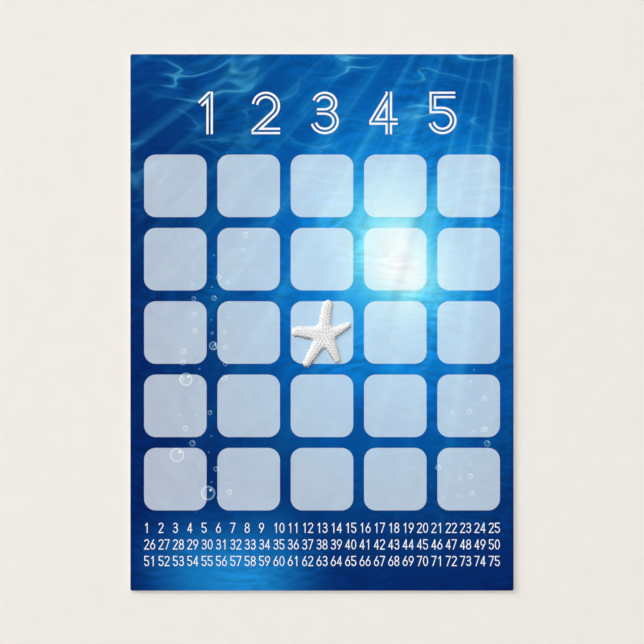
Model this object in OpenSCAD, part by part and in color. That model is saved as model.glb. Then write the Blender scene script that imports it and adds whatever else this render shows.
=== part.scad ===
// Bingo card: a printed board card with a heading, a square grid of blank spots to fill in,
// a raised star on the free spot and a list of numbers to choose from and tick off.
// The card lies face up: X runs to the right, Y towards the heading, Z out of the printed face.
// The origin is at the middle of the back. Sizes are in millimetres.

/* [Spots] */
// Side of one square spot
spot_w = 10.36; // [9.4:0.02:13]
// Gap between neighbouring spots
spot_gap = 1.79; // [0.8:0.01:3]
// Corner radius of a spot
spot_r = 1.95; // [0.3:0.05:4]
// Thickness of the veil printed on a spot
spot_t = 0.04; // [0.02:0.005:0.1]

/* [Margins] */
// Side edge of the card to the outermost spots
side_margin = 2.27; // [1:0.01:8]
// Top edge of the card to the heading
top_margin = 6.21; // [2:0.01:15]
// Heading to the first row of spots
heading_gap = 3.38; // [1:0.01:10]
// Last row of spots to the number list
tally_gap = 2.04; // [1:0.01:8]
// Number list to the bottom edge of the card
bottom_margin = 4.07; // [1.5:0.01:12]

/* [Board] */
// Corner radius of the card
card_r = 0.3; // [0.1:0.05:3]
// Thickness of the paper ply at the back
back_liner_t = 0.1; // [0.05:0.01:0.3]
// Thickness of the middle ply
core_board_t = 0.25; // [0.1:0.01:1]
// Thickness of the paper ply under the print
face_liner_t = 0.1; // [0.05:0.01:0.3]

/* [Print] */
// Thickness of the blue picture layer
picture_t = 0.03; // [0.02:0.005:0.1]
// Thickness of the white figures
white_t = 0.05; // [0.02:0.005:0.12]

/* [Heading] */
// Height of a heading figure
figure_h = 7.05; // [5:0.05:10]
// Width of a heading figure
figure_w = 4.7; // [3.8:0.05:6.5]
// Thickness of each of a figure's two parallel lines
figure_line = 0.36; // [0.2:0.01:0.6]
// Gap between the two parallel lines
figure_inline = 0.36; // [0.15:0.01:0.5]
// Side of the grid to the heading's first and last figures
heading_inset = 7.63; // [2:0.01:11]
// How far the heading sits to the right of the card's centre line
heading_shift = 0.45; // [-2:0.05:2]

/* [Number list] */
// Height of a small numeral
tally_h = 1.69; // [1.2:0.01:2.2]
// Width of a small numeral
tally_w = 0.85; // [0.65:0.01:0.95]
// Thickness of a small numeral's line
tally_line = 0.15; // [0.1:0.01:0.26]
// Gap between the two numerals of one number
tally_digit_gap = 0.15; // [0.1:0.01:0.3]
// Base of one line of numbers to the base of the next
tally_pitch = 2.75; // [2.4:0.01:4]

/* [Star] */
// Length of the arm that points to the lower left
arm_lower_left = 6.1; // [4:0.05:8]
// Length of the arm that points to the lower right
arm_lower_right = 5.1; // [4:0.05:8]
// Length of the arm that points to the right
arm_right = 4.75; // [4:0.05:8]
// Length of the arm that points up
arm_up = 5.85; // [4:0.05:8]
// Length of the arm that points to the left
arm_left = 5.45; // [4:0.05:8]
// Width of the lower left arm where it leaves the middle
root_lower_left = 2.35; // [1.8:0.05:3]
// Width of the lower right arm where it leaves the middle
root_lower_right = 2.6; // [1.8:0.05:3]
// Width of the right arm where it leaves the middle
root_right = 2.4; // [1.8:0.05:3]
// Width of the upper arm where it leaves the middle
root_up = 2.1; // [1.8:0.05:3]
// Width of the left arm where it leaves the middle
root_left = 2.6; // [1.8:0.05:3]
// Width of the lower left arm at its round tip
tip_lower_left = 1.3; // [0.6:0.05:1.8]
// Width of the lower right arm at its round tip
tip_lower_right = 1.05; // [0.6:0.05:1.8]
// Width of the right arm at its round tip
tip_right = 1; // [0.6:0.05:1.8]
// Width of the upper arm at its round tip
tip_up = 1.6; // [0.6:0.05:1.8]
// Width of the left arm at its round tip
tip_left = 1.65; // [0.6:0.05:1.8]
// Height of the star's middle above its edge
star_rise = 0.52; // [0.1:0.01:0.8]
// Height of the star's edge above the spot under it
star_edge_t = 0.04; // [0.02:0.01:0.15]
// How far the star sits to the right of its spot's middle
star_right = 0.4; // [-1.5:0.05:1.5]
// How far the star sits above its spot's middle
star_up = -0.46; // [-1.5:0.02:1.5]

/* [Hidden] */
$fn = 96;

// Spots in a row, and rows in the grid
grid_count = 5;
// Row and column of the free spot
free_spot = 3;
// Lines in the number list, and numbers in each line
tally_lines = 3;
numbers_per_line = 25;

// The arms of the star in order round it, each as its bearing in degrees, its length, its width at the root
// and its width at the tip
star_arms = [
    [-122, arm_lower_left, root_lower_left, tip_lower_left],
    [-63, arm_lower_right, root_lower_right, tip_lower_right],
    [24, arm_right, root_right, tip_right],
    [83, arm_up, root_up, tip_up],
    [173, arm_left, root_left, tip_left]
];
// Parts of the way from the star's middle to its edge at which its height is set
star_rings = [0.92, 0.78, 0.56, 0.3];
// How the star's height falls away: higher is flatter on top and steeper at the edge
star_crown = 3;

// Degrees between the points of an arc
figure_arc_step = 10;
tally_arc_step = 30;
star_arc_step = 30;
// How far the gap of a double line is cut past the line's end
inline_overrun = 0.3;

// Widths and heights that follow from the sizes above
spot_pitch = spot_w + spot_gap;
grid_w = grid_count * spot_w + (grid_count - 1) * spot_gap;
tally_block_h = tally_h + (tally_lines - 1) * tally_pitch;
card_w = grid_w + 2 * side_margin;
card_h = top_margin + figure_h + heading_gap + grid_w + tally_gap + tally_block_h + bottom_margin;
figure_band = 2 * figure_line + figure_inline;
figure_pitch = (grid_w - 2 * heading_inset - figure_w) / (grid_count - 1);
number_w = 2 * tally_w + tally_digit_gap;
number_pitch = (grid_w - number_w) / (numbers_per_line - 1);

// Places along Y, from the top edge down
heading_y = card_h / 2 - top_margin - figure_h;
grid_top_y = heading_y - heading_gap;
tally_y = grid_top_y - grid_w - tally_gap - tally_h;

// Levels along Z, from the back up
core_z = back_liner_t;
face_z = core_z + core_board_t;
picture_z = face_z + face_liner_t;
print_z = picture_z + picture_t;

// Names of the repeated pieces
function spot_name(row, col) = str("spot_row", row, "_col", col);
function figure_name(n) = str("heading_figure_", n);
function tally_name(line) = str("tally_row_", line);

// Colours
paper_colour = [0.96, 0.95, 0.93];
core_colour = [0.9, 0.89, 0.86];
picture_colour = [0.05, 0.31, 0.62];
spot_colour = [0.73, 0.79, 0.87];
white_colour = [1, 1, 1];
star_colour = [0.95, 0.94, 0.92];

// Lines and points

function unit(v) = v / norm(v);
function turned_left(v) = [-v.y, v.x];
function reversed(list) = [for (i = [len(list) - 1:-1:0]) list[i]];

// Points of an arc of an ellipse, from one angle to another, either way round
function arc_points(centre, radii, from, to, step) =
    let (count = max(2, ceil(abs(to - from) / step)))
    [for (k = [0:count])
        let (angle = from + (to - from) * k / count)
        centre + [radii.x * cos(angle), radii.y * sin(angle)]];

// Direction of the path's segment that starts at point i, with the last one used past the end
function direction(path, i) =
    let (start = max(0, min(i, len(path) - 2)))
    unit(path[start + 1] - path[start]);

// The path moved sideways by a distance, with mitred corners
function beside(path, distance) =
    [for (i = [0:len(path) - 1])
        let (
            before = turned_left(direction(path, i - 1)),
            after = turned_left(direction(path, i))
        )
        path[i] + distance * (before + after) / (1 + before * after)];

// The path carried on by a run at its start and a run at its end
function lengthened(path, start_run, end_run) =
    let (last = len(path) - 1)
    concat(
        [path[0] - start_run * direction(path, 0)],
        [for (i = [1:last - 1]) path[i]],
        [path[last] + end_run * direction(path, last)]
    );

// Where the line through a along u meets the line through b along v
function meeting(a, u, b, v) = a + u * cross(b - a, v) / cross(u, v);

// How a line of a numeral ends: whether it is carried on to the edge of the numeral's box,
// and whether the gap of a double line is open there
square_end = [1, 1];
cut_end = [0, 1];
joined_end = [0, 0];

// How far a line of one thickness goes on at its end, and a cut through it past that
function carried_on(end, line, past) = end[0] * line / 2 + end[1] * past;

// The open lines of a numeral, in a box of width w and height h, each as its start, its path and its end
function numeral_lines(n, w, h, step) =
    n == 1 ? [[cut_end, numeral_one(w, h), square_end]]
    : n == 2 ? [[cut_end, numeral_two(w, h, step), square_end]]
    : n == 3 ? numeral_three(w, h, step)
    : n == 4 ? numeral_four(w, h)
    : n == 5 ? [[square_end, numeral_five(w, h, step), cut_end]]
    : n == 6 ? [[joined_end, six_tail(w, h), square_end]]
    : n == 7 ? [[square_end, numeral_seven(w, h), square_end]]
    : n == 9 ? [[joined_end, [for (p = six_tail(w, h)) [w, h] - p], square_end]]
    : [];

// The closed loops of a numeral, each as its middle and its two radii
function numeral_loops(n, w, h) =
    let (six_loop = 0.6 * h, eight_waist = 0.53 * h, eight_upper_w = 0.86 * w)
    n == 0 ? [[[w, h] / 2, [w, h] / 2]]
    : n == 6 ? [[[w, six_loop] / 2, [w, six_loop] / 2]]
    : n == 8 ? [
        [[w, eight_waist] / 2, [w, eight_waist] / 2],
        [[w, h + eight_waist] / 2, [eight_upper_w, h - eight_waist] / 2]
    ]
    : n == 9 ? [[[w / 2, h - six_loop / 2], [w, six_loop] / 2]]
    : [];

// A slope up to the top of an upright
function numeral_one(w, h) =
    let (upright = 0.62 * w, slope_start = [0.18 * w, 0.74 * h])
    [slope_start, [upright, h], [upright, 0]];

// A round head, a slope that leaves it along its tangent, and a level foot
function numeral_two(w, h, step) =
    let (
        radius = w / 2,
        middle = [radius, h - radius],
        leaving = atan2(middle.y, middle.x) + acos(radius / norm(middle)) - 180
    )
    concat(arc_points(middle, [radius, radius], 172, leaving, step), [[0, 0], [w, 0]]);

// A smaller bowl over a larger one, which meet in a short level bar
function numeral_three(w, h, step) =
    let (
        waist = 0.54 * h,
        bar_end = [0.3 * w, waist],
        upper = [0.86 * w, h - waist] / 2,
        lower = [w, waist] / 2
    )
    [
        [cut_end, concat(arc_points([w / 2, h - upper.y], upper, 165, -90, step), [bar_end]), square_end],
        [square_end, concat([bar_end], arc_points([w / 2, lower.y], lower, 90, -168, step)), cut_end]
    ];

// An upright, and a slope and a level bar that cross it
function numeral_four(w, h) =
    let (upright = 0.74 * w, bar = 0.26 * h)
    [
        [square_end, [[upright, h], [upright, 0]], square_end],
        [square_end, [[w, bar], [0, bar], [upright, h]], joined_end]
    ];

// A level top, an upright on the left, and a bowl that starts in a level bar
function numeral_five(w, h, step) =
    let (waist = 0.58 * h, left = 0.06 * w, bowl = [w, waist] / 2)
    concat(
        [[w - left, h], [left, h], [left, waist]],
        arc_points([w / 2, bowl.y], bowl, 90, -168, step)
    );

// The slope that rises from the left of a six's loop, which turned half round is a nine's
function six_tail(w, h) = [[0.05 * w, 0.42 * h], [0.7 * w, h]];

// A level top and a slope down from its end
function numeral_seven(w, h) =
    let (foot = 0.28 * w)
    [[0, h], [w, h], [foot, 0]];

// Outline of the star, round its own middle

function along(bearing) = [cos(bearing), sin(bearing)];
function arm_axis(arm) = along(arm[0]);
function root_radius(arm) = arm[2] / 2;
function tip_radius(arm) = arm[3] / 2;
function tip_middle(arm) = arm_axis(arm) * (arm[1] - tip_radius(arm));

// The side of an arm, as the point where it starts at the middle and the point where it joins the round tip
function arm_side(arm, hand) =
    let (across = hand * turned_left(arm_axis(arm)))
    [across * root_radius(arm), tip_middle(arm) + across * tip_radius(arm)];

// The point where the left side of one arm meets the right side of the next
function valley(i) =
    let (
        left = arm_side(star_arms[i], 1),
        right = arm_side(star_arms[(i + 1) % len(star_arms)], -1)
    )
    meeting(left[0], left[1] - left[0], right[0], right[1] - right[0]);

// One arm from the valley before it, round its tip, to half-way down its other side
function arm_outline(i) =
    let (
        arm = star_arms[i],
        tip_radii = [tip_radius(arm), tip_radius(arm)],
        tip = arc_points(tip_middle(arm), tip_radii, arm[0] - 90, arm[0] + 90, star_arc_step),
        start = valley((i + len(star_arms) - 1) % len(star_arms)),
        end = valley(i)
    )
    concat([start, (start + tip[0]) / 2], tip, [(end + tip[len(tip) - 1]) / 2]);

star_outline = [for (i = [0:len(star_arms) - 1]) each arm_outline(i)];

// Flat shapes

module rounded_rectangle(w, h, r) {
    square([w - 2 * r, h], center = true);
    square([w, h - 2 * r], center = true);
    for (x = [-1, 1], y = [-1, 1])
        translate([x * (w / 2 - r), y * (h / 2 - r)])
            circle(r);
}

module ring(centre, radii, line, step) {
    outer = arc_points(centre, radii + [line, line] / 2, 0, 360 - step, step);
    inner = arc_points(centre, radii - [line, line] / 2, 0, 360 - step, step);
    count = len(outer);
    polygon(concat(outer, inner), [[for (i = [0:count - 1]) i], [for (i = [0:count - 1]) count + i]]);
}

// A line drawn along a path at one thickness
module stroke(path, line) {
    polygon(concat(beside(path, line / 2), reversed(beside(path, -line / 2))));
}

// A numeral that fills a box of width w and height h, cut off level at the box's sides
module numeral(n, w, h, line, step) {
    inner = [w - line, h - line];
    intersection() {
        square([w, h]);
        translate([line, line] / 2) {
            for (part = numeral_lines(n, inner.x, inner.y, step))
                stroke(lengthened(part[1], carried_on(part[0], line, 0), carried_on(part[2], line, 0)), line);
            for (loop = numeral_loops(n, inner.x, inner.y))
                ring(loop[0], loop[1], line, step);
        }
    }
}

// A heading numeral drawn as two parallel lines, open at its ends
module double_line_numeral(n) {
    inner = [figure_w - figure_band, figure_h - figure_band];
    difference() {
        numeral(n, figure_w, figure_h, figure_band, figure_arc_step);
        translate([figure_band, figure_band] / 2)
            for (part = numeral_lines(n, inner.x, inner.y, figure_arc_step)) {
                start_run = carried_on(part[0], figure_band, inline_overrun);
                end_run = carried_on(part[2], figure_band, inline_overrun);
                stroke(lengthened(part[1], start_run, end_run), figure_inline);
            }
    }
}

// Pieces

module ply(level, thickness) {
    translate([0, 0, level])
        linear_extrude(thickness)
            rounded_rectangle(card_w, card_h, card_r);
}

module back_liner() {
    color(paper_colour)
        ply(0, back_liner_t);
}

module core_board() {
    color(core_colour)
        ply(core_z, core_board_t);
}

module face_liner() {
    color(paper_colour)
        ply(face_z, face_liner_t);
}

module picture_print() {
    color(picture_colour)
        ply(picture_z, picture_t);
}

function spot_middle(row, col) =
    [(col - (grid_count + 1) / 2) * spot_pitch, grid_top_y - spot_w / 2 - (row - 1) * spot_pitch, print_z];

module spot(row, col) {
    color(spot_colour)
        translate(spot_middle(row, col))
            linear_extrude(spot_t)
                rounded_rectangle(spot_w, spot_w, spot_r);
}

// The star's crowned body, standing on the picture layer
module star_body() {
    count = len(star_outline);
    edge_z = spot_t + star_edge_t;
    points = concat(
        [for (p = star_outline) [p.x, p.y, 0]],
        [for (p = star_outline) [p.x, p.y, edge_z]],
        [for (part = star_rings, p = star_outline)
            [p.x * part, p.y * part, edge_z + star_rise * (1 - pow(part, star_crown))]],
        [[0, 0, 0], [0, 0, edge_z + star_rise]]
    );
    rings = len(star_rings) + 2;
    base_middle = rings * count;
    top_middle = base_middle + 1;
    function at(ring, i) = ring * count + i % count;
    polyhedron(points, concat(
        [for (i = [0:count - 1]) [base_middle, at(0, i), at(0, i + 1)]],
        [for (ring = [0:rings - 2], i = [0:count - 1]) each [
            [at(ring, i), at(ring + 1, i), at(ring + 1, i + 1)],
            [at(ring, i), at(ring + 1, i + 1), at(ring, i + 1)]
        ]],
        [for (i = [0:count - 1]) [top_middle, at(rings - 1, i + 1), at(rings - 1, i)]]
    ));
}

// The star lies over its spot and past the spot's edge, and is seated on both
module star() {
    color(star_colour)
        difference() {
            translate(spot_middle(free_spot, free_spot) + [star_right, star_up, 0])
                star_body();
            for (row = [free_spot - 1:free_spot + 1], col = [free_spot - 1:free_spot + 1])
                spot(row, col);
        }
}

module heading_figure(n) {
    middle = heading_shift + (n - (grid_count + 1) / 2) * figure_pitch;
    color(white_colour)
        translate([middle - figure_w / 2, heading_y, print_z])
            linear_extrude(white_t)
                double_line_numeral(n);
}

// One line of the number list, its first number in line with the left side of the grid
module tally_row(line) {
    color(white_colour)
        translate([-grid_w / 2, tally_y - (line - 1) * tally_pitch, print_z])
            linear_extrude(white_t)
                for (place = [0:numbers_per_line - 1])
                    translate([place * number_pitch, 0])
                        number((line - 1) * numbers_per_line + place + 1);
}

module number(value) {
    digits = value < 10 ? [value] : [floor(value / 10), value % 10];
    for (i = [0:len(digits) - 1])
        translate([i * (tally_w + tally_digit_gap), 0])
            numeral(digits[i], tally_w, tally_h, tally_line, tally_arc_step);
}

back_liner();
core_board();
face_liner();
picture_print();
for (row = [1:grid_count], col = [1:grid_count])
    spot(row, col);
star();
for (n = [1:grid_count])
    heading_figure(n);
for (line = [1:tally_lines])
    tally_row(line);
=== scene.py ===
"""Bingo card: the finish of its board and print, its granular star, and a plain stage to see it on.

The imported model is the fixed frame. Its plies, spots and figures keep their shape and get a finish here,
and the star is modelled again with its granules. Lengths are in metres, unless a name or a comment says mm.
"""

import math
from typing import NamedTuple

import bmesh
import bpy
import numpy as np
from bpy.props import FloatProperty, FloatVectorProperty, PointerProperty
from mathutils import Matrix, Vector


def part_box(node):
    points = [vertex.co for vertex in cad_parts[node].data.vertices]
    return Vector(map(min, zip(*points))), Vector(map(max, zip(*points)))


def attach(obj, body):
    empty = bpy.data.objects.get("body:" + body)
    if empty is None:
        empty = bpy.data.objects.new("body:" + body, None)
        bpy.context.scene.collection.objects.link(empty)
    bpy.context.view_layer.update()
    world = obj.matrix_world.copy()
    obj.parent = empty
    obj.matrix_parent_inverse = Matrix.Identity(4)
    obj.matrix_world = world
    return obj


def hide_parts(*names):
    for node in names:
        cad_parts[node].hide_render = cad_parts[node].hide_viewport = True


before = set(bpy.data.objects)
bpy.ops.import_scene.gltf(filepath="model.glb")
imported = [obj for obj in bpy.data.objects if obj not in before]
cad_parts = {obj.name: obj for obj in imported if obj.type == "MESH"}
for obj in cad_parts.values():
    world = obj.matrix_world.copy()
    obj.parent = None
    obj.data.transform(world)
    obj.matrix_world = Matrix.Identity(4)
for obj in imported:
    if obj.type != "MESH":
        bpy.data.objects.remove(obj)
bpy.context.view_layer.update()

bl_info = {
    "name": "Bingo Card",
    "version": (1, 0, 0),
    "blender": (4, 5, 0),
    "location": "View3D > Sidebar > Bingo Card",
    "description": "Finishes a printed bingo card and lays it on a plain stage",
    "category": "Object",
}

MM = 0.001
GRID_COUNT = 5
FREE_SPOT = "spot_row3_col3"
SPOTS = [f"spot_row{row}_col{col}" for row in range(1, GRID_COUNT + 1) for col in range(1, GRID_COUNT + 1)]
HEADING_FIGURES = [f"heading_figure_{number}" for number in range(1, GRID_COUNT + 1)]
TALLY_ROWS = [f"tally_row_{line}" for line in range(1, 4)]

# Levels of the printed face
FILM_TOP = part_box("picture_print")[1].z
SPOT_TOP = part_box(FREE_SPOT)[1].z
STAR_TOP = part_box("star")[1].z


def display(red, green, blue):
    """A colour as a screen shows it, from three numbers up to 255."""
    return (red / 255, green / 255, blue / 255)


def length(name, description, default):
    """A property that holds a length, given in mm."""
    metres = default * MM
    return FloatProperty(name=name, description=description, default=metres, unit="LENGTH", precision=5)


def place(name, description, default):
    """A property that holds a place on the card's face, given in mm from the card's middle."""
    return FloatVectorProperty(
        name=name,
        description=description,
        size=2,
        default=tuple(value * MM for value in default),
        subtype="XYZ",
        unit="LENGTH",
        precision=5,
    )


def colour(name, description, default):
    """A property that holds a colour as a screen shows it."""
    return FloatVectorProperty(
        name=name, description=description, size=3, default=default, min=0, max=1, subtype="COLOR_GAMMA"
    )


def share(name, description, default):
    """A property that holds a share from 0 to 1."""
    return FloatProperty(name=name, description=description, default=default, min=0, max=1, subtype="FACTOR")


def power(name, description, default):
    """A property that holds a lamp's power in watts."""
    return FloatProperty(name=name, description=description, default=default, min=0, unit="POWER")


class PaperStock(bpy.types.PropertyGroup):
    """The bare paper of the plies."""

    liner: colour("Liner", "Colour of the outer plies", display(247, 245, 241))
    core: colour("Core", "Colour of the middle ply where its cut edge shows", display(226, 221, 211))
    fibre: colour("Fibre", "Colour of the darker fibres in the paper", display(214, 208, 198))
    fibre_width: length("Fibre width", "Width of a fibre", 0.03)
    tooth_size: length("Tooth size", "Size of the grain of the paper", 0.11)
    tooth_depth: length("Tooth depth", "Depth of the grain of the paper", 0.006)


class WaterPicture(bpy.types.PropertyGroup):
    """The blue print that covers the face."""

    glow: colour("Glow", "Middle of the light", display(240, 252, 250))
    bright: colour("Bright", "Water close round the light", display(120, 218, 242))
    clear: colour("Clear", "Well lit water", display(36, 148, 220))
    blue: colour("Blue", "Open water", display(9, 96, 174))
    deep: colour("Deep", "Water far from the light", display(3, 66, 130))
    dark: colour("Dark", "Corners of the picture", display(1, 38, 98))
    glow_middle: place("Glow middle", "Where the light is", (12.2, 11.0))
    glow_reach: place("Glow reach", "How far the light reaches to the side and up", (27.0, 35.0))
    pool_middle: place("Pool middle", "Where light falls on the floor of the water", (-15.0, -42.0))
    pool_reach: place("Pool reach", "How far the pool of light reaches to the side and up", (21.0, 17.0))
    shaft_start: place("Shaft start", "Where the shafts of light fan out from", (34.0, 78.0))
    grain: length("Grain", "Size of the grain of the print", 0.16)


class SpotVeil(bpy.types.PropertyGroup):
    """The pale veil over each spot."""

    white: colour("Veil", "Colour of the veil", display(254, 254, 254))
    cover: share("Cover", "How much of the picture the veil hides", 0.7)


class WhiteInk(bpy.types.PropertyGroup):
    """The white of the figures."""

    white: colour("White", "Colour of the ink", display(244, 249, 252))
    thin: colour("Thin", "Colour where the ink lies thinner", display(234, 242, 249))


class StarRelief(bpy.types.PropertyGroup):
    """The raised star on the free spot."""

    right: length("Right", "How far the star sits to the right of its spot's middle", 0.4)
    up: length("Up", "How far the star sits above its spot's middle", -0.46)
    edge_height: length("Edge height", "Height of the star's edge above its spot", 0.04)
    height: length("Height", "Height of the tops of the granules above the spot", (STAR_TOP - SPOT_TOP) / MM)
    granule_pitch: length("Granule pitch", "From one granule to the next along an arm", 0.42)
    granule_height: length("Granule height", "How far a granule stands out", 0.085)
    mesh_step: length("Mesh step", "Distance between the points of the mesh", 0.04)
    shell: colour("Shell", "Colour of the granules", display(237, 237, 236))
    blush: colour("Blush", "Warm tint in patches towards the tips", display(242, 230, 223))
    # Painted shade: the colour that the flanks turned to the shaded way are mixed towards
    shade: colour("Shade", "Colour of the lower flanks of the arms", display(182, 182, 184))
    # Painted shade: the dark grey painted in the pits, between granules on shaded flanks and under the arms
    pit: colour("Pit", "Colour of the pits among the granules", display(107, 107, 113))


class Stage(bpy.types.PropertyGroup):
    """The floor, the light and the camera."""

    floor: colour("Floor", "Colour of the floor", display(241, 236, 230))
    mottle: colour("Mottle", "Colour of the floor's faint mottling", display(239, 234, 228))
    field: length("Field", "Width that the camera sees at the level of the card's face", 106.72)
    camera_up: length("Camera up", "How far the camera is from the card's middle towards the heading", 0.07)
    key: power("Key", "Power of the low light at the upper left", 41.6)
    fill: power("Fill", "Power of each of the high lights round the card", 0.96)


class Nodes:
    """Adds nodes to one node tree, and feeds their inputs with values or with other nodes' outputs."""

    def __init__(self, tree):
        self.tree = tree

    def add(self, kind, inputs=None, **settings):
        """A node of one kind, with its settings, and with the inputs that are given fed."""
        node = self.tree.nodes.new(kind)
        for name, value in settings.items():
            setattr(node, name, value)
        for key, value in (inputs or {}).items():
            self.feed(node.inputs[key], value)
        return node

    def feed(self, socket, value):
        """Links a socket to another node's output, or sets it to a value."""
        if isinstance(value, bpy.types.NodeSocket):
            self.tree.links.new(value, socket)
        else:
            socket.default_value = value

    def number(self, operation, *values):
        """A sum on numbers."""
        return self.add("ShaderNodeMath", dict(enumerate(values)), operation=operation).outputs[0]

    def vector(self, operation, *values):
        """A sum on vectors, which gives a number where the operation measures one."""
        node = self.add("ShaderNodeVectorMath", dict(enumerate(values)), operation=operation)
        return node.outputs["Value" if operation in ("LENGTH", "DISTANCE") else "Vector"]

    def scaled(self, vector, scale):
        """A vector times a number."""
        return self.add("ShaderNodeVectorMath", {0: vector, "Scale": scale}, operation="SCALE").outputs[0]

    def parts(self, vector):
        """A vector's three numbers."""
        return self.add("ShaderNodeSeparateXYZ", {0: vector}).outputs

    def joined(self, x, y, z):
        """A vector of three numbers."""
        return self.add("ShaderNodeCombineXYZ", {0: x, 1: y, 2: z}).outputs[0]

    def step(self, value, low, high, start=0.0, end=1.0):
        """A soft step, from start where the value is low to end where it is high."""
        inputs = {"Value": value, "From Min": low, "From Max": high, "To Min": start, "To Max": end}
        return self.add("ShaderNodeMapRange", inputs, interpolation_type="SMOOTHSTEP").outputs[0]

    def mixed(self, amount, first, second, blend="MIX"):
        """Two colours mixed by an amount."""
        inputs = {0: amount, 6: first, 7: second}
        return self.add("ShaderNodeMix", inputs, data_type="RGBA", blend_type=blend).outputs[2]

    def noise(self, at, size, detail=2.0, output=0):
        """Soft noise from 0 to 1 with blotches of about one size, or three of them as a colour."""
        inputs = {"Vector": at, "Scale": 1 / size, "Detail": detail}
        return self.add("ShaderNodeTexNoise", inputs).outputs[output]

    def ramp(self, value, stops):
        """The colours of a list of stops, each a place from 0 to 1 and a colour."""
        node = self.add("ShaderNodeValToRGB", {0: value})
        elements = node.color_ramp.elements
        node.color_ramp.interpolation = "CARDINAL"
        for _ in stops[2:]:
            elements.new(0.5)
        for element, (position, shade) in zip(elements, stops):
            element.position = position
            element.color = opaque(shade)
        return node.outputs[0]


def opaque(shade):
    """A colour with full alpha."""
    return (*shade, 1.0)


def pair(vector):
    """The two numbers of a place, in mm, with a third for Z."""
    return (vector[0] / MM, vector[1] / MM, 0.0)


def new_material(name):
    """A material with its nodes, its shader, and the place in the card's own frame."""
    material = bpy.data.materials.new(name)
    material.use_nodes = True
    nodes = Nodes(material.node_tree)
    surface = material.node_tree.nodes["Principled BSDF"]
    at = nodes.add("ShaderNodeTexCoord").outputs["Object"]
    return material, nodes, surface, at


def finish_node(name, material):
    """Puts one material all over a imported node."""
    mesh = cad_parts[name].data
    mesh.materials.clear()
    mesh.materials.append(material)


class Finish(NamedTuple):
    """A surface's grain, with its size and depth, its least and most roughness, and its shine."""

    grain_size: float
    grain_depth: float
    smoothest: float
    roughest: float
    shine: float


VEIL_FINISH = Finish(grain_size=0.14 * MM, grain_depth=0.004 * MM, smoothest=0.62, roughest=0.76, shine=0.15)
INK_FINISH = Finish(grain_size=0.12 * MM, grain_depth=0.003 * MM, smoothest=0.4, roughest=0.52, shine=0.2)
STAR_FINISH = Finish(grain_size=0.05 * MM, grain_depth=0.004 * MM, smoothest=0.5, roughest=0.7, shine=0.25)


def lay_finish(nodes, surface, at, finish):
    """Presses a fine grain into a surface, roughens it and sets its shine."""
    height = nodes.noise(at, finish.grain_size, detail=3.0)
    inputs = {"Height": height, "Distance": finish.grain_depth, "Strength": 1.0}
    bump = nodes.add("ShaderNodeBump", inputs)
    nodes.feed(surface.inputs["Normal"], bump.outputs["Normal"])
    roughness = nodes.step(height, 0.2, 0.8, finish.smoothest, finish.roughest)
    nodes.feed(surface.inputs["Roughness"], roughness)
    surface.inputs["Specular IOR Level"].default_value = finish.shine


def from_middle(nodes, at, middle, reach):
    """How far a place is from a middle, as a share of a reach to the side and up."""
    return nodes.vector("LENGTH", nodes.vector("DIVIDE", nodes.vector("SUBTRACT", at, middle), reach))


def paint_depth(nodes, at, picture):
    """Light that fades into deep water, and a fainter pool of it on the floor of the water."""
    reach = (picture.glow_reach[0] / MM, picture.glow_reach[1] / MM, 1.0)
    distance = from_middle(nodes, at, pair(picture.glow_middle), reach)
    furthest = 1.7
    stops = [
        (0.0, picture.glow),
        (0.2 / furthest, picture.bright),
        (0.42 / furthest, picture.clear),
        (0.75 / furthest, picture.blue),
        (1.15 / furthest, picture.deep),
        (1.0, picture.dark),
    ]
    water = nodes.ramp(nodes.number("DIVIDE", distance, furthest), stops)
    pool_reach = (picture.pool_reach[0] / MM, picture.pool_reach[1] / MM, 1.0)
    pool = nodes.step(from_middle(nodes, at, pair(picture.pool_middle), pool_reach), 1.0, 0.0, end=0.85)
    return nodes.mixed(pool, water, opaque(picture.clear))


# In mm: the distance from their start at which the shafts have their own width, that width, and how far out
# they end and begin to fade
SHAFT_SPREAD = 60.0
SHAFT_WIDTH = 3.2
SHAFT_END = 135.0
SHAFT_FADE = 45.0


def paint_shafts(nodes, water, at, picture):
    """Soft shafts of light that fan out from above the card."""
    start = pair(picture.shaft_start)
    x, y, _ = nodes.parts(nodes.vector("SUBTRACT", at, start))
    bearing = nodes.number("ARCTAN2", x, nodes.number("MULTIPLY", y, -1.0))
    across = nodes.joined(nodes.number("MULTIPLY", bearing, SHAFT_SPREAD), 0.0, 0.0)
    streaks = nodes.noise(across, SHAFT_WIDTH, detail=3.0)
    away = nodes.vector("DISTANCE", at, start)
    lasting = nodes.step(away, SHAFT_END, SHAFT_FADE)
    light = nodes.number("MULTIPLY", nodes.step(streaks, 0.46, 0.72), lasting)
    lit = nodes.number("MULTIPLY", light, 0.34)
    shade = nodes.number("MULTIPLY", nodes.step(streaks, 0.5, 0.3), 0.22)
    shaded = nodes.mixed(shade, water, opaque(picture.deep))
    return nodes.mixed(lit, shaded, opaque(picture.bright), blend="SCREEN")


def paint_ripples(nodes, water, at, drift, picture):
    """Flowing lines of light, as from ripples overhead, that fade downwards."""
    stretched = nodes.vector("MULTIPLY", nodes.vector("ADD", at, drift), (0.55, 1.5, 1.0))
    bands = nodes.noise(stretched, 7.5, detail=1.5)
    off_line = nodes.number("ABSOLUTE", nodes.number("SUBTRACT", bands, 0.5))
    lines = nodes.number("ADD", nodes.step(off_line, 0.03, 0.0), nodes.step(off_line, 0.12, 0.0, end=0.5))
    _, y, _ = nodes.parts(at)
    patches = nodes.step(nodes.noise(at, 15.0), 0.4, 0.65)
    near_top = nodes.step(y, 4.0, 44.0)
    amount = nodes.number("MULTIPLY", nodes.number("MULTIPLY", lines, patches), near_top)
    risen = nodes.mixed(nodes.step(y, 16.0, 52.0, end=0.5), water, opaque(picture.blue))
    return nodes.mixed(nodes.number("MULTIPLY", amount, 0.36), risen, opaque(picture.bright), blend="SCREEN")


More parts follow.
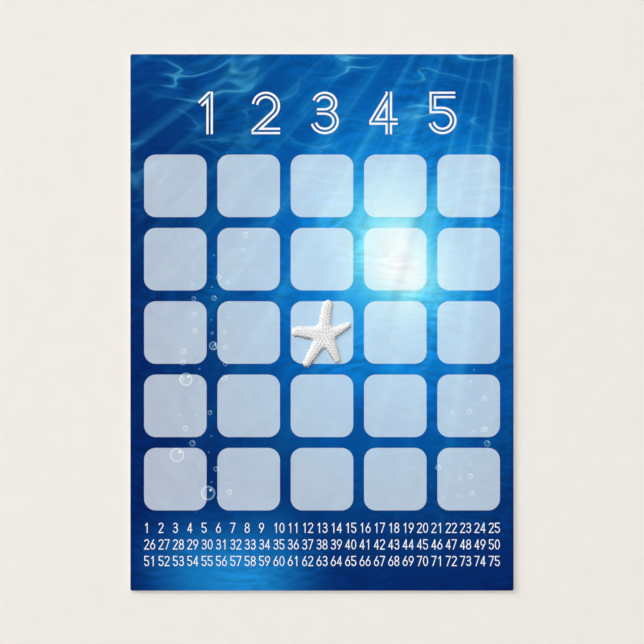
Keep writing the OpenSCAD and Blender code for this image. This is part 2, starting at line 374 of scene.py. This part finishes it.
class Stream(NamedTuple):
    """A stream of rising bubbles, in mm: the line that it winds about, its sway and width, and its ends."""

    middle: float
    sway: float
    width: float
    low: float
    high: float


class Bubbles(NamedTuple):
    """Bubbles of about one size, in mm: at most one to a cell, with radii from small to large."""

    cell: float
    small: float
    large: float


STREAMS = (
    Stream(middle=-19.0, sway=3.0, width=7.0, low=-29.0, high=14.0),
    Stream(middle=23.0, sway=-2.5, width=6.0, low=-29.0, high=-6.0),
)
BUBBLES = (Bubbles(cell=6.4, small=0.4, large=1.2), Bubbles(cell=2.7, small=0.14, large=0.5))
# In mm: how far a stream rises over one radian of its winding, and how gradually it starts and ends
STREAM_RISE = 8.0
STREAM_START = 2.0
STREAM_END = 8.0


def in_stream(nodes, at, stream):
    """How far a place is inside a stream, from 0 outside it to 1 along its middle."""
    x, y, _ = nodes.parts(at)
    wave = nodes.number("SINE", nodes.number("DIVIDE", y, STREAM_RISE))
    bend = nodes.number("MULTIPLY", wave, stream.sway)
    aside = nodes.number("ABSOLUTE", nodes.number("SUBTRACT", x, nodes.number("ADD", bend, stream.middle)))
    band = nodes.step(aside, stream.width, 0.0)
    started = nodes.step(y, stream.low - STREAM_START, stream.low)
    lasting = nodes.step(y, stream.high + STREAM_END, stream.high - STREAM_END)
    return nodes.number("MULTIPLY", band, nodes.number("MULTIPLY", started, lasting))


def paint_bubbles(nodes, water, at, bubbles, picture):
    """Round bubbles with a bright rim and a highlight, along the two streams."""
    inputs = {"Vector": at, "Scale": 1 / bubbles.cell, "Randomness": 0.6}
    cells = nodes.add("ShaderNodeTexVoronoi", inputs, feature="F1", voronoi_dimensions="2D")
    middle = cells.outputs["Position"]
    left_stream, right_stream = (in_stream(nodes, middle, stream) for stream in STREAMS)
    chance, size, _ = nodes.parts(cells.outputs["Color"])
    there = nodes.number("LESS_THAN", chance, nodes.number("MAXIMUM", left_stream, right_stream))
    radius = nodes.step(nodes.number("MULTIPLY", size, size), 0.0, 1.0, bubbles.small, bubbles.large)
    from_centre = nodes.vector("SUBTRACT", at, middle)
    across = nodes.number("DIVIDE", nodes.vector("LENGTH", from_centre), radius)
    rim = nodes.number("MULTIPLY", nodes.step(across, 0.6, 0.95), nodes.step(across, 1.08, 0.96))
    inside = nodes.number("MULTIPLY", nodes.step(across, 1.0, 0.9), 0.1)
    towards_light = nodes.scaled(nodes.joined(0.36, 0.42, 0.0), radius)
    shine_away = nodes.number("DIVIDE", nodes.vector("DISTANCE", from_centre, towards_light), radius)
    shine = nodes.step(shine_away, 0.3, 0.06, end=0.8)
    bright = nodes.number("ADD", nodes.number("MULTIPLY", rim, 0.42), nodes.number("ADD", inside, shine))
    amount = nodes.number("MULTIPLY", nodes.number("MINIMUM", bright, 0.85), there)
    return nodes.mixed(amount, water, opaque(picture.glow))


def paint_specks(nodes, water, at, picture):
    """Fine flecks that drift in the water and catch the light here and there."""
    cell = 1.3
    inputs = {"Vector": at, "Scale": 1 / cell}
    cells = nodes.add("ShaderNodeTexVoronoi", inputs, feature="F1", voronoi_dimensions="2D")
    chance, size, _ = nodes.parts(cells.outputs["Color"])
    radius = nodes.step(size, 0.0, 1.0, 0.05, 0.14)
    fleck = nodes.step(nodes.number("MULTIPLY", cells.outputs["Distance"], cell), radius, 0.0)
    lit = nodes.step(nodes.noise(at, 9.0), 0.4, 0.62)
    amount = nodes.number("MULTIPLY", nodes.number("MULTIPLY", fleck, lit), nodes.step(chance, 0.6, 1.0))
    return nodes.mixed(nodes.number("MULTIPLY", amount, 0.6), water, opaque(picture.bright), blend="SCREEN")


def paint_chop(nodes, water, at, drift):
    """Faint chop on the water, in lighter and darker flecks drawn out sideways."""
    drawn_out = nodes.vector("MULTIPLY", nodes.vector("ADD", at, drift), (0.45, 1.4, 1.0))
    flecks = nodes.step(nodes.noise(drawn_out, 1.3, detail=4.0), 0.3, 0.7, -0.11, 0.11)
    patches = nodes.step(nodes.noise(at, 12.0), 0.35, 0.65, 0.15, 1.0)
    return nodes.scaled(water, nodes.number("MULTIPLY_ADD", flecks, patches, 1.0))


def water_picture(picture):
    """A node group that paints sunlit water in a screen's colours over the card's X and Y."""
    tree = bpy.data.node_groups.new("Water picture", "ShaderNodeTree")
    tree.interface.new_socket("Place", in_out="INPUT", socket_type="NodeSocketVector")
    tree.interface.new_socket("Colour", in_out="OUTPUT", socket_type="NodeSocketColor")
    nodes = Nodes(tree)
    at = nodes.vector("MULTIPLY", nodes.add("NodeGroupInput").outputs[0], (1 / MM, 1 / MM, 0.0))
    wander = nodes.vector("SUBTRACT", nodes.noise(at, 20.0, output=1), (0.5, 0.5, 0.5))
    drift = nodes.vector("MULTIPLY", wander, (13.0, 13.0, 0.0))
    water = paint_depth(nodes, nodes.vector("ADD", at, drift), picture)
    water = paint_shafts(nodes, water, at, picture)
    water = paint_ripples(nodes, water, at, drift, picture)
    water = paint_chop(nodes, water, at, drift)
    water = paint_specks(nodes, water, at, picture)
    for bubbles in BUBBLES:
        water = paint_bubbles(nodes, water, at, bubbles, picture)
    grain = nodes.step(nodes.noise(at, picture.grain / MM, detail=1.0), 0.2, 0.8, 0.965, 1.035)
    nodes.add("NodeGroupOutput", {0: nodes.scaled(water, grain)})
    return tree


def display_to_light(nodes, shade):
    """A screen's colour as the amount of light that a shader takes."""
    return nodes.add("ShaderNodeGamma", {"Color": shade, "Gamma": 2.2}).outputs[0]


def picture_at(nodes, at, tree):
    """The water picture's colour at a place."""
    node = nodes.add("ShaderNodeGroup", node_tree=tree)
    nodes.feed(node.inputs["Place"], at)
    return node.outputs["Colour"]


# Ways that the fibres of the paper lie, in degrees
FIBRE_TURNS = (10, 47, 83, 120, 155)
# Size and strength of the curl of the fibres, in fibre widths
CURL_SIZE = 20
CURL_STRENGTH = 15
# Least and most roughness of the plies
LINER_ROUGHNESS = (0.54, 0.7)
CORE_ROUGHNESS = (0.77, 0.93)
PAPER_SHINE = 0.2


class BINGO_OT_board(bpy.types.Operator):
    """Gives the three plies of the board their paper."""

    bl_idname = "bingo_card.board"
    bl_label = "Board plies"

    def execute(self, context):
        paper = context.scene.bingo_paper
        liner = self.paper("Liner paper", paper.liner, paper, LINER_ROUGHNESS)
        core = self.paper("Core board", paper.core, paper, CORE_ROUGHNESS)
        finish_node("back_liner", liner)
        finish_node("face_liner", liner)
        finish_node("core_board", core)
        return {"FINISHED"}

    def paper(self, name, shade, paper, roughness):
        """Matt paper with a faint mottle and darker fibres that lie every way in the sheet."""
        material, nodes, surface, at = new_material(name)
        amount = nodes.step(nodes.noise(at, 1.6 * MM, detail=4.0), 0.35, 0.75, 0.0, 0.14)
        for turn in FIBRE_TURNS:
            amount = nodes.number("MAXIMUM", amount, self.fibres(nodes, at, turn, paper))
        tone = nodes.mixed(amount, opaque(shade), opaque(paper.fibre))
        nodes.feed(surface.inputs["Base Color"], display_to_light(nodes, tone))
        finish = Finish(paper.tooth_size, paper.tooth_depth, *roughness, PAPER_SHINE)
        lay_finish(nodes, surface, at, finish)
        return material

    def fibres(self, nodes, at, turn, paper):
        """Short bent fibres that lie about one way, given in degrees, as how much each shows."""
        curls = nodes.noise(at, CURL_SIZE * paper.fibre_width, output=1)
        wander = nodes.vector("SUBTRACT", curls, (0.5, 0.5, 0.5))
        bent = nodes.vector("ADD", at, nodes.scaled(wander, CURL_STRENGTH * paper.fibre_width))
        inputs = {"Vector": bent, "Angle": math.radians(turn)}
        turned = nodes.add("ShaderNodeVectorRotate", inputs, rotation_type="Z_AXIS").outputs[0]
        drawn_out = nodes.vector("MULTIPLY", turned, (1.0, 0.08, 2.0))
        return nodes.step(nodes.noise(drawn_out, paper.fibre_width, detail=1.0), 0.62, 0.74, 0.0, 0.26)


class BINGO_OT_picture(bpy.types.Operator):
    """Prints the water picture over the whole face."""

    bl_idname = "bingo_card.picture"
    bl_label = "Picture print"

    def execute(self, context):
        picture = context.scene.bingo_picture
        material, nodes, surface, at = new_material("Picture ink")
        shade = picture_at(nodes, at, water_picture(picture))
        nodes.feed(surface.inputs["Base Color"], display_to_light(nodes, shade))
        finish = Finish(
            grain_size=picture.grain, grain_depth=0.003 * MM, smoothest=0.42, roughest=0.54, shine=0.04
        )
        lay_finish(nodes, surface, at, finish)
        finish_node("picture_print", material)
        return {"FINISHED"}


class BINGO_OT_spots(bpy.types.Operator):
    """Lays a pale veil over the picture on each of the spots."""

    bl_idname = "bingo_card.spots"
    bl_label = "Spots"

    def execute(self, context):
        veil = context.scene.bingo_veil
        material, nodes, surface, at = new_material("Spot veil")
        under = picture_at(nodes, at, bpy.data.node_groups["Water picture"])
        cloud = nodes.noise(at, 2.4 * MM, detail=5.0)
        cover = nodes.step(cloud, 0.25, 0.75, veil.cover - 0.012, veil.cover + 0.012)
        shade = nodes.mixed(cover, under, opaque(veil.white))
        nodes.feed(surface.inputs["Base Color"], display_to_light(nodes, shade))
        lay_finish(nodes, surface, at, VEIL_FINISH)
        for name in SPOTS:
            finish_node(name, material)
        return {"FINISHED"}


class BINGO_OT_figures(bpy.types.Operator):
    """Inks the heading figures and the number list in opaque white."""

    bl_idname = "bingo_card.figures"
    bl_label = "White figures"

    def execute(self, context):
        ink = context.scene.bingo_ink
        material, nodes, surface, at = new_material("White figure ink")
        thin = nodes.step(nodes.noise(at, 0.45 * MM, detail=4.0), 0.4, 0.75)
        shade = nodes.mixed(thin, opaque(ink.white), opaque(ink.thin))
        nodes.feed(surface.inputs["Base Color"], display_to_light(nodes, shade))
        lay_finish(nodes, surface, at, INK_FINISH)
        for name in HEADING_FIGURES + TALLY_ROWS:
            finish_node(name, material)
        return {"FINISHED"}


class Arm(NamedTuple):
    """One arm of the star: its bearing in degrees, and its reach, widths and bow to the left in mm."""

    bearing: float
    reach: float
    root_width: float
    tip_width: float
    bow: float


STAR_ARMS = (
    Arm(bearing=-122, reach=6.1, root_width=2.35, tip_width=1.3, bow=0.0),
    Arm(bearing=-63, reach=5.1, root_width=2.6, tip_width=1.05, bow=0.15),
    Arm(bearing=24, reach=4.75, root_width=2.4, tip_width=1.0, bow=-0.22),
    Arm(bearing=83, reach=5.85, root_width=2.1, tip_width=1.6, bow=0.2),
    Arm(bearing=173, reach=5.45, root_width=2.6, tip_width=1.65, bow=-0.12),
)
# Where the rows of granules and the rows of pits run across an arm, as shares of its half width
GRANULE_ROWS = (-0.92, -0.55, 0.0, 0.55, 0.92)
PIT_ROWS = (-0.8, -0.27, 0.27, 0.8)
# Radii in mm of the granules that fill what the rows leave bare
FILL_RADII = (0.19, 0.15, 0.11, 0.08)
# In mm: how far two arms blend in a valley, how wide a flank is, how far granules and pits stray from their
# rows, and how short of a tip the rows stop
VALLEY_BLEND = 0.7
FLANK_WIDTH = 0.8
STRAY = 0.02
TIP_CLEAR = 0.18
# In mm: how far from the star's middle the rows start, and the radius of the granule in that middle
GRANULE_START = 0.6
PIT_START = 0.45
MIDDLE_GRANULE = 0.2
# In mm: how far in from the edge a granule's middle stays, its gap to a pit, and how near the edge granules
# scallop it
GRANULE_INSET = 0.02
GRANULE_GAP = 0.04
SCALLOP_REACH = 0.4
# In mm: the radii of the pits, how far apart their middles are, and how far in from the edge they stay
PIT_RADII = (0.11, 0.15)
PIT_APART = 0.36
PIT_INSET = 0.1
# From one pit to the next in a row, in granule pitches
PIT_PITCH = 1.28
# The way that the flanks with painted shade face, to the right and up
SHADED_WAY = np.array([0.12, -0.99])
# The painted shadow line under the arms: its width in mm, how much a flank faces the shaded way where
# the line starts and where it is full, and how dark it is then
LINE_WIDTH = 0.16
LINE_START = 0.2
LINE_FULL = 0.36
LINE_DARKNESS = 0.6


class StarShape:
    """The star's outline and its granules, in mm from the star's own middle."""

    def __init__(self, star):
        self.pitch = star.granule_pitch / MM
        self.reach = 1.1 * max(arm.reach for arm in STAR_ARMS)
        random = np.random.default_rng(5)
        self.pits = self.place_pits(random)
        self.granules = self.place_granules(random)

    def directions(self, arm):
        """An arm's own way out, and the way to its left."""
        angle = math.radians(arm.bearing)
        out = np.array([math.cos(angle), math.sin(angle)])
        return out, np.array([-out[1], out[0]])

    def bow_at(self, along, arm):
        """How far an arm's middle line lies to the left of a straight one."""
        way_out = np.clip(along / arm.reach, 0, 1)
        return 4 * arm.bow * way_out * (1 - way_out)

    def along_arm(self, points, arm):
        """How far points lie along an arm's middle line and to the left of it."""
        out, left = self.directions(arm)
        along = points @ out
        return along, points @ left - self.bow_at(along, arm)

    def half_width(self, along, arm):
        """Half an arm's width at a distance along it."""
        root, tip = arm.root_width / 2, arm.tip_width / 2
        return root + (tip - root) * np.clip(along / (arm.reach - tip), 0, 1)

    def arm_distance(self, points, arm):
        """Distance of points from the edge of one arm, less than 0 inside it."""
        along, aside = self.along_arm(points, arm)
        aside = np.abs(aside)
        root, tip = arm.root_width / 2, arm.tip_width / 2
        run = arm.reach - tip
        slope = (root - tip) / run
        level = math.sqrt(1 - slope * slope)
        past_root = aside * -slope + along * level
        side = aside * level + along * slope - root
        at_root = np.hypot(aside, along) - root
        at_tip = np.hypot(aside, along - run) - tip
        return np.where(past_root < 0, at_root, np.where(past_root > level * run, at_tip, side))

    def body_distance(self, points):
        """Distance of points from the edge of the star without its granules, with its valleys rounded."""
        total = self.arm_distance(points, STAR_ARMS[0])
        for arm in STAR_ARMS[1:]:
            other = self.arm_distance(points, arm)
            overlap = np.maximum(VALLEY_BLEND - np.abs(total - other), 0) / VALLEY_BLEND
            total = np.minimum(total, other) - overlap * overlap * VALLEY_BLEND / 4
        return total

    def depth(self, points):
        """How far in from the edge points lie, from 0 at the edge to 1 along the middle of an arm."""
        return np.clip(-self.body_distance(points) / FLANK_WIDTH, 0, 1)

    def facing(self, points):
        """How much the edge nearest to points faces the shaded way, from -1 to 1."""
        step = 0.02
        across, up = np.array([step, 0.0]), np.array([0.0, step])
        slope_x = self.body_distance(points + across) - self.body_distance(points - across)
        slope_y = self.body_distance(points + up) - self.body_distance(points - up)
        slope = np.stack([slope_x, slope_y], axis=1) / (2 * step)
        return slope @ SHADED_WAY

    # Painted shade: this share darkens the star's colour on the lower flanks and darkens its pits there
    def shaded(self, points):
        """How much the flank at points is turned to the shaded way, from -1 to 1, and 0 along the top."""
        return self.facing(points) * (1 - self.depth(points))

    def painted_foot_shadow(self, points):
        """A thin painted shadow at the foot of the flanks facing the shaded way, 0 to 1 at its darkest."""
        near_edge = np.clip(1 - self.depth(points) * FLANK_WIDTH / LINE_WIDTH, 0, 1)
        return near_edge * np.clip((self.facing(points) - LINE_START) / (LINE_FULL - LINE_START), 0, 1)

    def rows(self, shares, start, pitch, random):
        """Places in staggered rows along every arm, each with the arm's half width there."""
        for arm in STAR_ARMS:
            out, left = self.directions(arm)
            for index, row in enumerate(shares):
                for along in np.arange(start + pitch * (index % 2) / 2, arm.reach - TIP_CLEAR, pitch):
                    half = float(self.half_width(along, arm))
                    aside = row * half + self.bow_at(along, arm)
                    yield out * along + left * aside + random.normal(0.0, STRAY, 2), half

    def place_granules(self, random):
        """Granules in rows along the arms, and others where the rows leave it bare, as x, y and radius."""
        granules = [(0.0, 0.0, MIDDLE_GRANULE)]
        for middle, half in self.rows(GRANULE_ROWS, GRANULE_START, self.pitch, random):
            radius = 0.5 * min(self.pitch, 0.45 * half + 0.06) * random.uniform(0.98, 1.2)
            self.add_granule(middle, radius, granules)
        for radius in FILL_RADII:
            ticks = np.arange(-self.reach, self.reach, radius)
            grid = np.stack(np.meshgrid(ticks, ticks), axis=-1).reshape(-1, 2)
            grid = grid + random.normal(0.0, STRAY, grid.shape)
            for middle in grid[self.body_distance(grid) < -GRANULE_INSET]:
                self.add_granule(middle, radius, granules)
        return np.array(granules)

    def add_granule(self, middle, radius, granules):
        """Adds a granule if it is on the star, and clear of the pits and of the middles of the others."""
        others = np.array(granules)
        apart = np.hypot(others[:, 0] - middle[0], others[:, 1] - middle[1])
        from_pits = np.hypot(self.pits[:, 0] - middle[0], self.pits[:, 1] - middle[1])
        clear_of_others = np.all(apart > 0.8 * (radius + others[:, 2]))
        clear = clear_of_others and np.all(from_pits > radius + GRANULE_GAP)
        if clear and self.body_distance(middle[None, :])[0] < -GRANULE_INSET:
            granules.append((*middle, radius))

    def place_pits(self, random):
        """Small pits in rows along the arms, as x, y, radius and how dark each is."""
        pits = []
        for middle, _ in self.rows(PIT_ROWS, PIT_START, PIT_PITCH * self.pitch, random):
            radius = random.uniform(*PIT_RADII)
            turned = self.shaded(middle[None, :])[0]
            # Painted shade: pits on flanks turned to the shaded way are darker, and deeper, than those on
            # lit flanks
            darkness = np.clip(0.54 + 0.7 * turned, 0.2, 1.0) * random.uniform(0.7, 1.0)
            apart = all(math.dist(middle, other[:2]) > PIT_APART for other in pits)
            if apart and self.body_distance(middle[None, :])[0] < -PIT_INSET:
                pits.append((*middle, radius, darkness))
        return np.array(pits)

    # This sinks the mesh into the pits and also sets how much shade is painted in them
    def pit_depth(self, points):
        """How deep points lie in a pit, from 0 outside to 1 in the middle of a dark one."""
        depth = np.zeros(len(points))
        for x, y, radius, darkness in self.pits:
            near = np.hypot(points[:, 0] - x, points[:, 1] - y) / radius
            depth = np.maximum(depth, darkness * np.clip(1.5 - 1.5 * near, 0, 1))
        return depth

    def granule_height(self, points):
        """How far the granules stand out at points, from 0 between them to 1 on top of one."""
        height = np.zeros(len(points))
        for x, y, radius in self.granules:
            near = np.hypot(points[:, 0] - x, points[:, 1] - y) / radius
            height = np.maximum(height, np.clip(1 - near * near, 0, 1) ** 0.6)
        return height

    def edge_distance(self, points):
        """Distance of points from the star's scalloped edge, less than 0 inside it."""
        total = self.body_distance(points)
        near = np.flatnonzero(np.abs(total) < SCALLOP_REACH)
        for x, y, radius in self.granules:
            granule = np.hypot(points[near, 0] - x, points[near, 1] - y) - 0.95 * radius
            total[near] = np.minimum(total[near], granule)
        return total

    def tip_share(self, points):
        """How far out along its arm a point is, from 0 in the middle to 1 at a tip."""
        far_out = np.zeros(len(points))
        for arm in STAR_ARMS:
            along, aside = self.along_arm(points, arm)
            on_arm = np.abs(aside) < 0.7 * arm.root_width
            far_out = np.where(on_arm, np.maximum(far_out, along / arm.reach), far_out)
        return np.clip(far_out, 0, 1)


class BINGO_OT_star(bpy.types.Operator):
    """Models the raised star with its granules."""

    bl_idname = "bingo_card.star"
    bl_label = "Star"

    def execute(self, context):
        star = context.scene.bingo_star
        piece = bpy.data.objects.new("star_relief", self.mesh(star, StarShape(star)))
        context.scene.collection.objects.link(piece)
        piece.data.materials.append(self.material(star))
        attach(piece, "root")
        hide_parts("star")
        return {"FINISHED"}

    def mesh(self, star, shape):
        """A fine grid over the star, cut to its scalloped edge, raised, and closed down to its seat."""
        low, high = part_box(FREE_SPOT)
        middle = np.array([(low.x + high.x) / 2 + star.right, (low.y + high.y) / 2 + star.up]) / MM
        step = star.mesh_step / MM
        ticks = np.arange(-shape.reach, shape.reach + step, step)
        x, y = np.meshgrid(ticks, ticks, indexing="ij")
        points = np.stack([x.ravel(), y.ravel()], axis=1)
        distance = shape.edge_distance(points).reshape(x.shape)
        slope_x, slope_y = np.gradient(distance, step)
        kept = distance < 0.6 * step
        quads = kept[:-1, :-1] & kept[1:, :-1] & kept[1:, 1:] & kept[:-1, 1:]
        index = np.arange(x.size).reshape(x.shape)
        i, j = np.nonzero(quads)
        corners = np.stack([index[i, j], index[i + 1, j], index[i + 1, j + 1], index[i, j + 1]], axis=1)
        used, faces = np.unique(corners, return_inverse=True)
        faces = faces.reshape(corners.shape)
        edge = self.edge_points(faces, len(used))
        points = points[used]
        slide = np.where(edge, distance.ravel()[used], 0)[:, None]
        slope = np.stack([slope_x.ravel()[used], slope_y.ravel()[used]], axis=1)
        points = points - slide * slope
        return self.raised(star, shape, points, faces, edge, middle)

    def edge_points(self, faces, count):
        """Which points are on the rim of a sheet of quads: those that fewer than four faces share."""
        return np.bincount(faces.ravel(), minlength=count) < 4

    def raised(self, star, shape, points, faces, edge, middle):
        """The closed mesh over a sheet of points, with what its finish needs written on the points."""
        depth = shape.depth(points)
        tips = shape.tip_share(points)
        bumps = shape.granule_height(points)
        pits = shape.pit_depth(points)
        # Where shade is painted on the flanks, and where a painted shadow line runs at their foot
        shaded = np.clip(shape.shaded(points), 0, 1)
        line = shape.painted_foot_shadow(points)
        rise = star.height - star.edge_height - star.granule_height
        crown = np.sqrt(1 - (1 - depth) ** 2) * (1 - 0.3 * tips**2)
        standing = star.granule_height * (bumps * (1 - pits) - 0.5 * pits) * np.sqrt(np.maximum(depth, 0.3))
        height = star.edge_height + rise * crown + standing
        height = np.where(edge, star.edge_height, height)
        spots = np.column_stack([(points + middle) * MM, SPOT_TOP + height])
        mesh = bpy.data.meshes.new("star_relief")
        mesh.from_pydata(spots.tolist(), [], faces.tolist())
        # The attributes give the tips' blush and where shade is painted: in pits, between granules, on
        # flanks, under arms
        looks = {"pit": pits, "gap": 1 - bumps, "tip": tips, "shaded": shaded, "line": line}
        for name, values in looks.items():
            mesh.attributes.new(name, "FLOAT", "POINT").data.foreach_set("value", values.astype(np.float32))
        self.close(mesh)
        return mesh

    def close(self, mesh):
        """Walls from the rim down to what the star lies on, and a base between them."""
        low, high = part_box(FREE_SPOT)
        shell = bmesh.new()
        shell.from_mesh(mesh)
        rim = [edge for edge in shell.edges if edge.is_boundary]
        made = bmesh.ops.extrude_edge_only(shell, edges=rim)["geom"]
        for vertex in (item for item in made if isinstance(item, bmesh.types.BMVert)):
            on_spot = low.x < vertex.co.x < high.x and low.y < vertex.co.y < high.y
            vertex.co.z = SPOT_TOP if on_spot else FILM_TOP
        base = [edge for edge in shell.edges if edge.is_boundary]
        bmesh.ops.triangle_fill(shell, use_beauty=True, use_dissolve=False, edges=base)
        bmesh.ops.recalc_face_normals(shell, faces=shell.faces)
        for face in shell.faces:
            face.smooth = True
        shell.to_mesh(mesh)
        shell.free()

    def material(self, star):
        """Pale granules, painted shade in the pits and on the lower flanks, and a warm blush at the tips."""
        material, nodes, surface, at = new_material("Star granules")
        pit, gap, tip, shaded, line = (
            nodes.add("ShaderNodeAttribute", attribute_name=name).outputs["Fac"]
            for name in ("pit", "gap", "tip", "shaded", "line")
        )
        patches = nodes.step(nodes.noise(at, 1.1 * MM), 0.4, 0.7)
        warm = nodes.number("MULTIPLY", nodes.step(tip, 0.3, 0.95, 0.1, 0.7), patches)
        shade = nodes.mixed(warm, opaque(star.shell), opaque(star.blush))
        # Painted shade: the flanks turned to the shaded way are mixed towards the shade colour
        shade = nodes.mixed(nodes.step(shaded, 0.35, 1.0), shade, opaque(star.shade))
        # Painted shade in the gaps between granules on the flanks turned to the shaded way
        painted_crevice_shade = nodes.number("MULTIPLY", nodes.step(gap, 0.5, 1.0), nodes.step(shaded, 0.1, 0.7, 0.16, 0.75))
        # Painted shadow: a dark line at the foot of the flanks turned to the shaded way
        under = nodes.number("MULTIPLY", line, LINE_DARKNESS)
        dark = nodes.number("MAXIMUM", nodes.number("MAXIMUM", pit, painted_crevice_shade), under)
        shade = nodes.mixed(dark, shade, opaque(star.pit))
        nodes.feed(surface.inputs["Base Color"], display_to_light(nodes, shade))
        lay_finish(nodes, surface, at, STAR_FINISH)
        return material


# Places and sizes of the lamps, in metres
KEY_PLACE = (-1.68, 1.44, 1.0)
KEY_SIZE = 1.2
FILL_COUNT = 4
FILL_REACH = 0.45
FILL_LEVEL = 0.58
FILL_SIZE = 0.25


class BINGO_OT_stage(bpy.types.Operator):
    """Lays the card on a pale floor under soft light, with the camera straight above it."""

    bl_idname = "bingo_card.stage"
    bl_label = "Stage"

    def execute(self, context):
        stage = context.scene.bingo_stage
        self.floor(stage)
        self.lights(stage)
        self.world(context.scene)
        self.camera(context.scene, stage)
        context.scene.view_settings.view_transform = "Standard"
        return {"FINISHED"}

    def floor(self, stage):
        """A wide pale sheet just under the card."""
        half = 2.0
        level = -0.02 * MM
        mesh = bpy.data.meshes.new("stage_floor")
        corners = [(-half, -half, level), (half, -half, level), (half, half, level), (-half, half, level)]
        mesh.from_pydata(corners, [], [(0, 1, 2, 3)])
        floor = bpy.data.objects.new("stage_floor", mesh)
        bpy.context.scene.collection.objects.link(floor)
        material, nodes, surface, at = new_material("Stage paper")
        amount = nodes.step(nodes.noise(at, 3.5 * MM, detail=6.0), 0.3, 0.7)
        shade = nodes.mixed(amount, opaque(stage.floor), opaque(stage.mottle))
        nodes.feed(surface.inputs["Base Color"], display_to_light(nodes, shade))
        surface.inputs["Roughness"].default_value = 0.9
        surface.inputs["Specular IOR Level"].default_value = 0.1
        mesh.materials.append(material)

    def lights(self, stage):
        """A low soft light at the upper left, and a ring of high ones."""
        self.light("key_light", KEY_PLACE, KEY_SIZE, stage.key)
        for index in range(FILL_COUNT):
            angle = 2 * math.pi * index / FILL_COUNT
            at = (FILL_REACH * math.cos(angle), FILL_REACH * math.sin(angle), FILL_LEVEL)
            self.light(f"fill_light_{index + 1}", at, FILL_SIZE, stage.fill)

    def light(self, name, at, size, watts):
        """A square soft light that faces the card."""
        lamp = bpy.data.lights.new(name, "AREA")
        lamp.shape = "SQUARE"
        lamp.size = size
        lamp.energy = watts
        light = bpy.data.objects.new(name, lamp)
        light.location = at
        light.rotation_euler = (-light.location).to_track_quat("-Z", "Y").to_euler()
        bpy.context.scene.collection.objects.link(light)

    def world(self, scene):
        """A plain surround, paler low down than overhead."""
        world = bpy.data.worlds.new("Studio")
        world.use_nodes = True
        scene.world = world
        nodes = Nodes(world.node_tree)
        background = world.node_tree.nodes["Background"]
        direction = nodes.add("ShaderNodeTexCoord").outputs["Generated"]
        _, _, up = nodes.parts(direction)
        shade = nodes.ramp(up, [(0.0, (0.75, 0.75, 0.75)), (0.3, (0.3, 0.3, 0.3)), (0.8, (0.1, 0.1, 0.1))])
        nodes.feed(background.inputs["Color"], shade)

    def camera(self, scene, stage):
        """A long lens straight above the card, with the heading at the top of the image."""
        lens = bpy.data.cameras.new("card_camera")
        lens.lens = 150
        lens.sensor_width = 36
        lens.clip_start = 0.01
        camera = bpy.data.objects.new("card_camera", lens)
        camera.location = (0.0, stage.camera_up, FILM_TOP + stage.field * lens.lens / lens.sensor_width)
        scene.collection.objects.link(camera)
        scene.camera = camera


class BINGO_PT_card(bpy.types.Panel):
    """Lists the card's pieces and the stage."""

    bl_idname = "BINGO_PT_card"
    bl_label = "Bingo Card"
    bl_space_type = "VIEW_3D"
    bl_region_type = "UI"
    bl_category = "Bingo Card"

    def draw(self, context):
        for step in STEPS:
            self.layout.operator(step.bl_idname)


GROUPS = {
    "bingo_paper": PaperStock,
    "bingo_picture": WaterPicture,
    "bingo_veil": SpotVeil,
    "bingo_ink": WhiteInk,
    "bingo_star": StarRelief,
    "bingo_stage": Stage,
}
STEPS = (BINGO_OT_board, BINGO_OT_picture, BINGO_OT_spots, BINGO_OT_figures, BINGO_OT_star, BINGO_OT_stage)


def register():
    for group in GROUPS.values():
        bpy.utils.register_class(group)
    for name, group in GROUPS.items():
        setattr(bpy.types.Scene, name, PointerProperty(type=group))
    for step in STEPS:
        bpy.utils.register_class(step)
    bpy.utils.register_class(BINGO_PT_card)


def unregister():
    bpy.utils.unregister_class(BINGO_PT_card)
    for step in reversed(STEPS):
        bpy.utils.unregister_class(step)
    for name, group in reversed(GROUPS.items()):
        delattr(bpy.types.Scene, name)
        bpy.utils.unregister_class(group)


def main():
    register()
    bpy.ops.bingo_card.board()
    bpy.ops.bingo_card.picture()
    bpy.ops.bingo_card.spots()
    bpy.ops.bingo_card.figures()
    bpy.ops.bingo_card.star()
    bpy.ops.bingo_card.stage()


if __name__ == "__main__":
    main()
